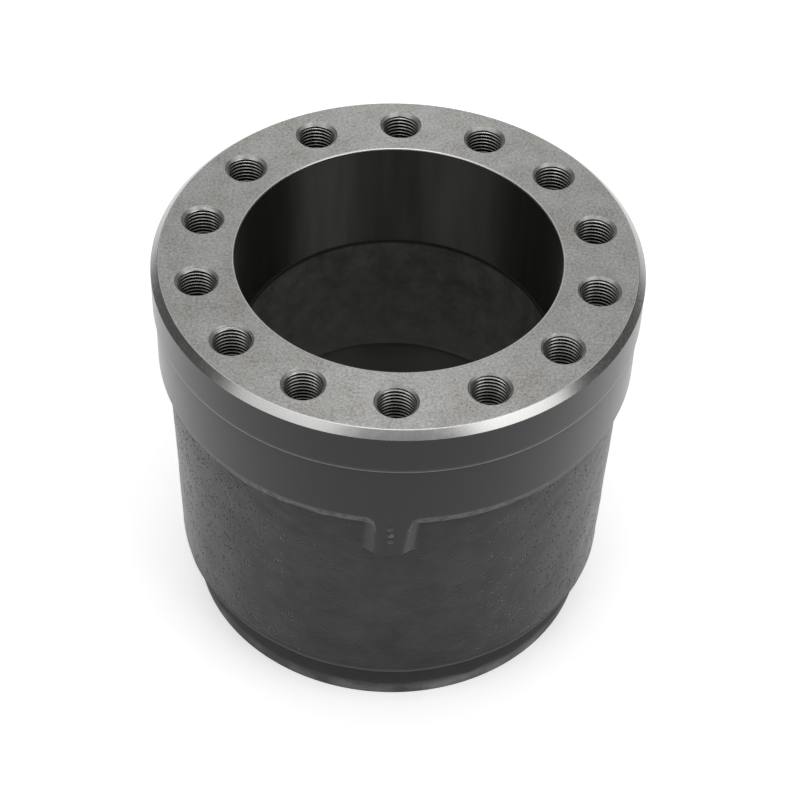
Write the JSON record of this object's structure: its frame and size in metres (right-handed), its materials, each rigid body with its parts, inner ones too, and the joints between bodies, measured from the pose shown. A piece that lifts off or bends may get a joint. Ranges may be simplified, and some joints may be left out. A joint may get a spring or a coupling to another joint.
{
  "type": "wheel hub",
  "caption": "Cast iron wheel hub: a drafted barrel with a turned bolting flange, a ring of tapped holes and bearing seats at both ends.",
  "frame": {"origin": "centre of the hub's lower end, on its axis, in the plane that it stands on", "axes": "+Z along the hub's axis, out of the flange face; -Y towards the number pad; one tapped hole is centred over +Y"},
  "size_m": [0.17, 0.17, 0.15],
  "materials": {
    "cast_iron": "dark as-cast barrel, bare turned flange face, chamfer and bores"
  },
  "bodies": {
    "root": {"hub": "cast_iron"}
  },
  "joints": []
}
